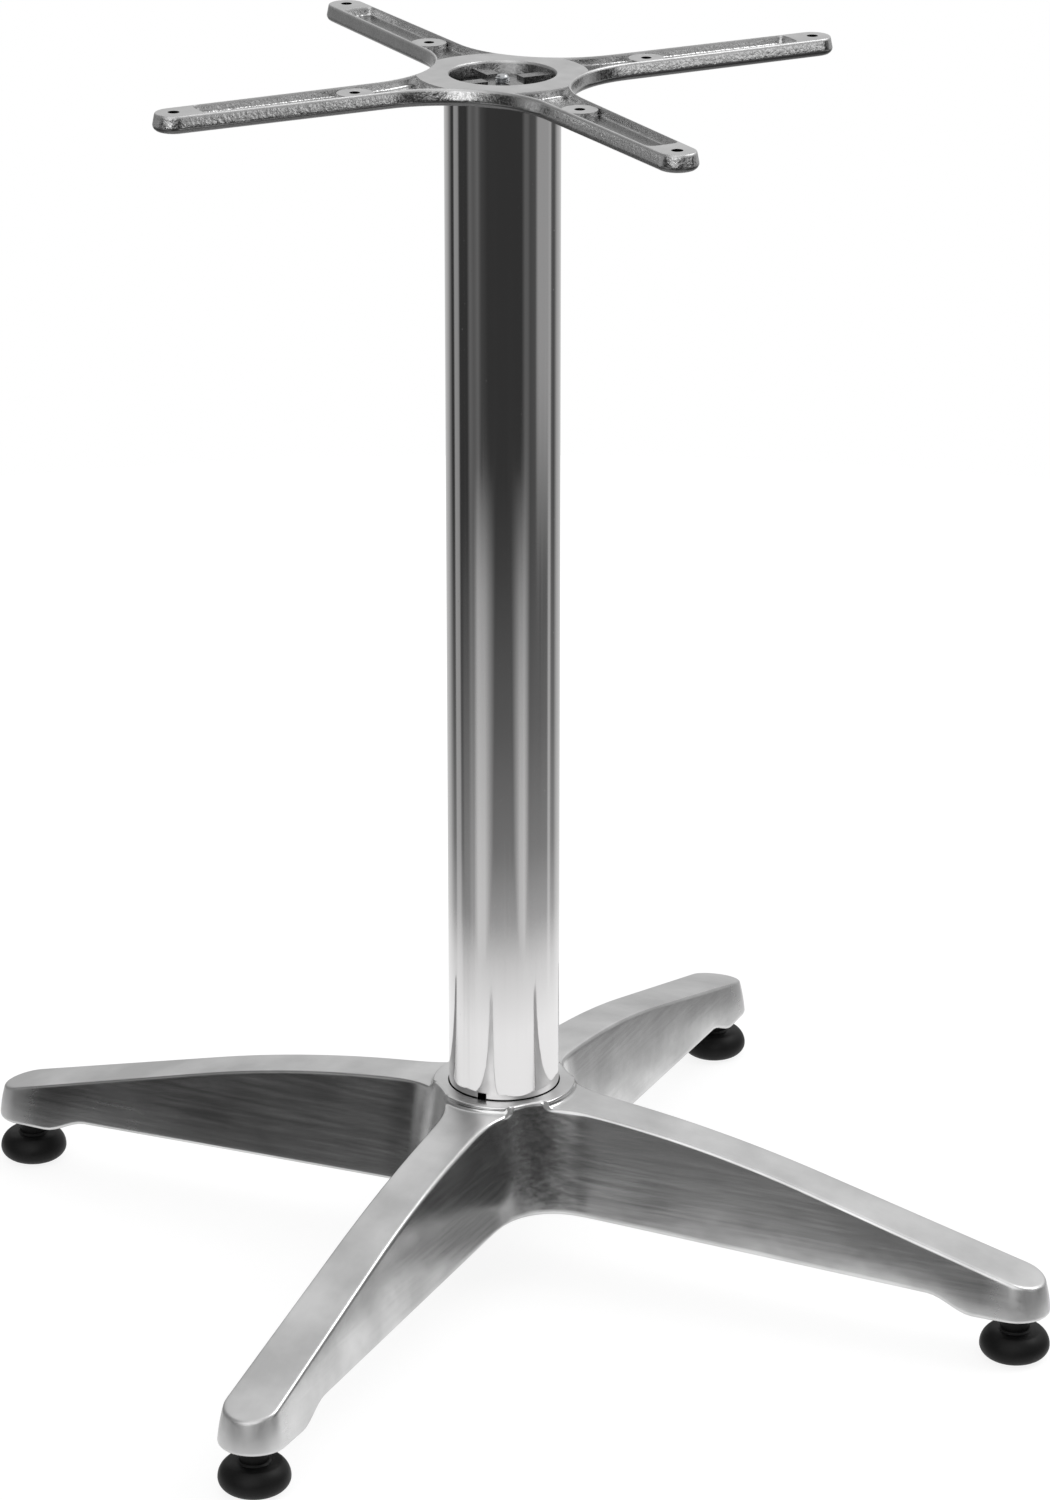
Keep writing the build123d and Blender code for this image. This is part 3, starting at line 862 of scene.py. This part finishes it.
def footPad():  # bun, flat shoulder and neck
    p = pad
    low = arc((p["rest"], p["widest"]), p["radius"] - p["rest"], p["widest"], 270, 360, 12)
    high = arc((p["radius"] - p["crown"], p["widest"]), p["crown"], p["crown"], 0, p["sweep"], 10)
    shoulder = high[-1][1]
    neck = [(p["neck"] + p["soft"], shoulder), (p["neck"], shoulder + p["soft"]),
            (p["neck"], p["top"] - p["soft"]), (p["neck"] - p["soft"], p["top"])]
    return turned("foot_pad", [(p["rest"] * 0.5, 0)] + low + high[1:] + neck, p["segments"])


legs = {"front": (0, -1), "right": (1, 0), "back": (0, 1), "left": (-1, 0)}
padModel = footPad()
studModel = threadedRod(
    "foot_stud", stud["radius"], stud["bottom"], stud["top"], stud["chamfer"],
    [(stud["bottom"] + stud["chamfer"], stud["top"] - stud["chamfer"])],
)
for leg, (x, y) in legs.items():
    spot = Vector((x, y, 0)) * casting["footCircle"] * mm
    for model, part, slot, material in (
        (padModel, "foot_pad", "foot_plastic", footPlastic),
        (studModel, "foot_stud", "zinc_steel", zincPlate),
    ):
        piece = copyMesh(model, f"{leg}_{part}_turned")
        piece.location = spot
        settle(piece, 40)
        finish(piece, f"{leg}_foot", slot, material, f"{leg}_{part}")
bpy.data.objects.remove(padModel)
bpy.data.objects.remove(studModel)
for name in ("clamp_nut", "clamp_spring_washer", "clamp_flat_washer"):
    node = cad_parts[name]
    node.data.materials.clear()
    node.data.materials.append(zincPlate)
print("rods, feet and clamp hardware done")


# Stage: floor, studio light and camera

stage = {
    "azimuth": 25.0, "distance": 2.8230, "height": 1.3806, "pitch": 20.57, "yaw": 0.0044, "lens": 125.16,
    "sensor": 36, "floorRadius": 1.6, "floorWhite": 0.42, "floorGlow": 0.58, "paperGlow": 1.1,
    "shadowShare": 0.22, "shadowStart": 0.45, "shadowEnd": 0.8,
    "keyTurn": 94.0, "keyRise": 50.0, "keyDistance": 4.0, "keySize": 2.0, "keyPower": 45.0,
    "room": 0.036, "backdrop": 0.72, "ceiling": 0.9, "panel": 0.33, "panelFoot": 0.075,
    "lampFoot": 0.06, "lampLeft": 1.6, "lampRight": 1.1, "lampHigh": 1.3,
}
floorByReach = {  # grey levels by share of the floor's radius
    "pool": [
        (0.0, 1), (0.24, 1), (0.31, 0.72), (0.36, 0.36), (0.44, 0.17), (0.6, 0.08), (0.85, 0.02), (1.0, 0),
    ],
    "beam": [(0.0, 0.85), (0.36, 0.66), (0.8, 0.36), (1.0, 0.05)],
    "shadeRing": [(0.05, 0), (0.07, 1), (0.125, 1), (0.14, 0)],
}
floorByTurn = {  # by degrees from the camera; lowNear and lowFar say from how low the floor is seen
    "lobes": [
        (-95, 0), (-86, 0.5), (-62, 0.55), (-53, 1), (-38, 1), (-14, 0), (14, 0), (33, 0.9), (42, 0.95),
        (56, 0),
    ],
    "behindLeg": [(66, 0), (80, 1), (126, 1), (140, 0)],
    "lowNear": [
        (-120, 0.1), (-90, 0.3), (-62, 0.3), (-45, 0.13), (8, 0.13), (30, 0.06), (50, 0.18), (100, 0.18),
        (150, 0.06),
    ],
    "lowFar": [
        (-120, 0.1), (-90, 0.3), (-62, 0.3), (-45, 0.14), (8, 0.14), (20, 0.24), (45, 0.24), (54, 0.27),
        (80, 0.27), (100, 0.22), (150, 0.22),
    ],
}
floorEase = {"nearEnd": 0.17, "farStart": 0.23, "lowSoft": 0.1, "shade": 0.12}
white = (1, 1, 1, 1)
toCamera = Vector((sin(radians(stage["azimuth"])), -cos(radians(stage["azimuth"])), 0))
toRight = Vector((cos(radians(stage["azimuth"])), sin(radians(stage["azimuth"])), 0))


def setRamp(colour, stops):  # position and grey level pairs of the ramp that gives this colour
    elements = colour.node.color_ramp.elements
    while len(elements) < len(stops):
        elements.new(1.0)
    for element, (position, level) in zip(elements, stops):
        element.position = position
        element.color = (level, level, level, 1)
    return colour


def byTurn(stops):  # degrees from the camera as shares of a whole turn
    return [((turn + 180) / 360, level) for turn, level in stops]


def turnShare(tree, vector):  # turn about the column, 0.5 towards the camera
    aside, ahead = [
        addNode(tree, "VectorMath", {"operation": "DOT_PRODUCT", 1: way}, {0: vector}, "Value")
        for way in (toRight, toCamera)
    ]
    turn = addNode(tree, "Math", {"operation": "ARCTAN2"}, {0: aside, 1: ahead})
    return addNode(tree, "MapRange", {1: -pi, 2: pi}, {0: turn})


def mirroredFloor(tree, coords, reach):  # how white reflections see the floor
    around = turnShare(tree, coords)
    share = addNode(tree, "MapRange", {2: stage["floorRadius"]}, {0: reach})
    ramps = {}
    for name, stops in floorByReach.items():
        ramps[name] = setRamp(addNode(tree, "ValToRGB", {}, {"Fac": share}), stops)
    for name, stops in floorByTurn.items():
        ramps[name] = setRamp(addNode(tree, "ValToRGB", {}, {"Fac": around}), byTurn(stops))
    beams = addNode(tree, "Math", {"operation": "MULTIPLY"}, {0: ramps["beam"], 1: ramps["lobes"]})
    lightest = addNode(tree, "Math", {"operation": "MAXIMUM"}, {0: ramps["pool"], 1: beams})
    shade = addNode(tree, "Math", {"operation": "MULTIPLY"}, {0: ramps["behindLeg"], 1: ramps["shadeRing"]})
    unshaded = addNode(tree, "MapRange", {3: 1.0, 4: floorEase["shade"]}, {0: shade})
    lightest = addNode(tree, "Math", {"operation": "MULTIPLY"}, {0: lightest, 1: unshaded})
    facing = addNode(tree, "LayerWeight", {"Blend": 0.5}, None, "Facing")
    steep = addNode(tree, "Math", {"operation": "SUBTRACT", 0: 1.0}, {1: facing})
    farther = addNode(tree, "MapRange", {1: floorEase["nearEnd"], 2: floorEase["farStart"]}, {0: share})
    low = addNode(tree, "MixRGB", {}, {0: farther, 1: ramps["lowNear"], 2: ramps["lowFar"]})
    high = addNode(tree, "Math", {"operation": "ADD", 1: floorEase["lowSoft"]}, {0: low})
    seenFlat = addNode(tree, "MapRange", {}, {0: steep, 1: low, 2: high})
    return addNode(tree, "Math", {"operation": "MULTIPLY"}, {0: lightest, 1: seenFlat})


def paleFloor():  # white to the camera with a faint shadow; reflections see a pool of light on it
    pick(base)
    bpy.ops.mesh.primitive_circle_add(vertices=96, radius=stage["floorRadius"], fill_type="NGON")
    floor = named("floor")
    material = bpy.data.materials.new("paleFloor")
    material.use_nodes = True
    tree = material.node_tree
    tree.nodes.clear()
    coords = addNode(tree, "TexCoord", {}, None, "Object")
    reach = addNode(tree, "VectorMath", {"operation": "LENGTH"}, {0: coords}, "Value")
    whiteShare = mirroredFloor(tree, coords, reach)
    grey = (stage["floorWhite"],) * 3 + (1,)
    matt = addNode(tree, "BsdfDiffuse", {"Color": grey})
    fill = addNode(tree, "Emission", {"Color": white, "Strength": stage["floorGlow"]})
    lit = addNode(tree, "AddShader", {}, {0: matt, 1: fill})
    gone = addNode(tree, "BsdfTransparent", {})
    mirrored = addNode(tree, "MixShader", {}, {0: whiteShare, 1: gone, 2: lit})
    paper = addNode(tree, "BsdfDiffuse", {"Color": white})
    glow = addNode(tree, "Emission", {"Color": white, "Strength": stage["paperGlow"]})
    fade = {1: stage["shadowStart"], 2: stage["shadowEnd"], 3: stage["shadowShare"], 4: 0.0}
    near = addNode(tree, "MapRange", fade, {0: reach})
    seen = addNode(tree, "MixShader", {}, {0: near, 1: glow, 2: paper})
    camera = addNode(tree, "LightPath", {}, None, "Is Camera Ray")
    both = addNode(tree, "MixShader", {}, {0: camera, 1: mirrored, 2: seen})
    under = addNode(tree, "NewGeometry", {}, None, "Backfacing")
    whole = addNode(tree, "MixShader", {}, {0: under, 1: both, 2: gone})
    addNode(tree, "OutputMaterial", {}, {"Surface": whole})
    floor.data.materials.append(material)


def studioLevels():  # grey levels by turn, from low in the room to high
    room, backdrop = stage["room"], stage["backdrop"]
    rows = [
        [  # strip lamps either side, and a panel on the right
            (-180, backdrop), (-140, 0.38), (-122, room), (-115, room), (-112, 0.31), (-100, 0.29),
            (-96, room), (-76, room), (-69, 0.14), (-60, 0.10), (-51, 0.14), (-44, 0.06), (-30, room),
            (38, room), (45, 0.12), (51, 0.12), (56, 0.07), (68, 0.08), (74, panel), (101, panel),
            (104, 0.36), (109, 0.4), (114, 0.1), (124, 0.08), (136, 0.36), (160, 0.8 * backdrop),
            (180, backdrop),
        ]
        for panel in (stage["panelFoot"], stage["panel"])
    ]
    rows += [
        [  # two lamps beside the camera, hardly seen from above
            (-180, 0.75 * backdrop), (-145, 0.4 * backdrop), (-125, 0.2), (-112, 0.36), (-86, 0.36),
            (-74, room), (-53, room), (-47, 0.08), (-43, 0.15), (-38, 0.15), (-34, room), (-30, left),
            (-10, left), (-2, room), (44, room), (53, right), (70, right), (77, room), (95, room),
            (115, 0.6 * backdrop), (180, 0.75 * backdrop),
        ]
        for left, right in ((stage["lampFoot"],) * 2, (stage["lampLeft"], stage["lampRight"]))
    ]
    return rows + [[  # one high lamp over the camera, and the pale backdrop
        (-180, 1.1 * backdrop), (-140, backdrop), (-110, 0.15), (-56, 0.3), (-44, stage["lampHigh"]),
        (14, stage["lampHigh"]), (26, 0.3), (80, 0.3), (110, backdrop), (180, 1.1 * backdrop),
    ]]


def studioWorld():  # pale behind the object, a dim room behind the camera, strip lamps at the sides
    world = bpy.data.worlds.new("studio")
    bpy.context.scene.world = world
    world.use_nodes = True
    tree = world.node_tree
    tree.nodes.clear()
    view = addNode(tree, "TexCoord", {}, None, "Generated")
    around = turnShare(tree, view)
    up = addNode(tree, "SeparateXYZ", {}, {0: view}, "Z")
    rows = [
        setRamp(addNode(tree, "ValToRGB", {}, {"Fac": around}), byTurn(stops)) for stops in studioLevels()
    ]
    room = rows[0]
    overhead = (stage["ceiling"],) * 3 + (1,)
    for number, (start, end) in enumerate(((-19, -16.5), (-12, -8), (1, 8), (6, 22), (58, 72)), 1):
        climb = {1: sin(radians(start)), 2: sin(radians(end)), "interpolation_type": "SMOOTHSTEP"}
        links = {0: addNode(tree, "MapRange", climb, {0: up}), 1: room}
        if number < len(rows):
            links[2] = rows[number]
        room = addNode(tree, "MixRGB", {2: overhead}, links)
    dim = addNode(tree, "Background", {}, {"Color": room})
    pale = addNode(tree, "Background", {"Color": white, "Strength": 1.0})
    camera = addNode(tree, "LightPath", {}, None, "Is Camera Ray")
    both = addNode(tree, "MixShader", {}, {0: camera, 1: dim, 2: pale})
    addNode(tree, "OutputWorld", {}, {"Surface": both})


def keyLamp():  # one large soft lamp, high at the back on the right
    turn, rise = radians(stage["keyTurn"]), radians(stage["keyRise"])
    aim = toCamera * cos(turn) * cos(rise) + toRight * sin(turn) * cos(rise) + Vector((0, 0, sin(rise)))
    bpy.ops.object.light_add(
        type="AREA", location=aim * stage["keyDistance"], rotation=aim.to_track_quat("Z", "Y").to_euler()
    )
    lamp = bpy.context.object
    lamp.data.shape = "SQUARE"
    lamp.data.size = stage["keySize"]
    lamp.data.energy = stage["keyPower"]


def viewCamera():
    place = toCamera * stage["distance"] + Vector((0, 0, stage["height"]))
    facing = (radians(90 - stage["pitch"]), 0, radians(stage["azimuth"]) - stage["yaw"])
    bpy.ops.object.camera_add(location=place, rotation=facing)
    camera = bpy.context.object
    camera.data.lens = stage["lens"]
    camera.data.sensor_width = stage["sensor"]
    camera.data.clip_end = 100
    bpy.context.scene.camera = camera


paleFloor()
studioWorld()
keyLamp()
viewCamera()
bpy.context.scene.view_settings.view_transform = "Standard"
print("stage set")
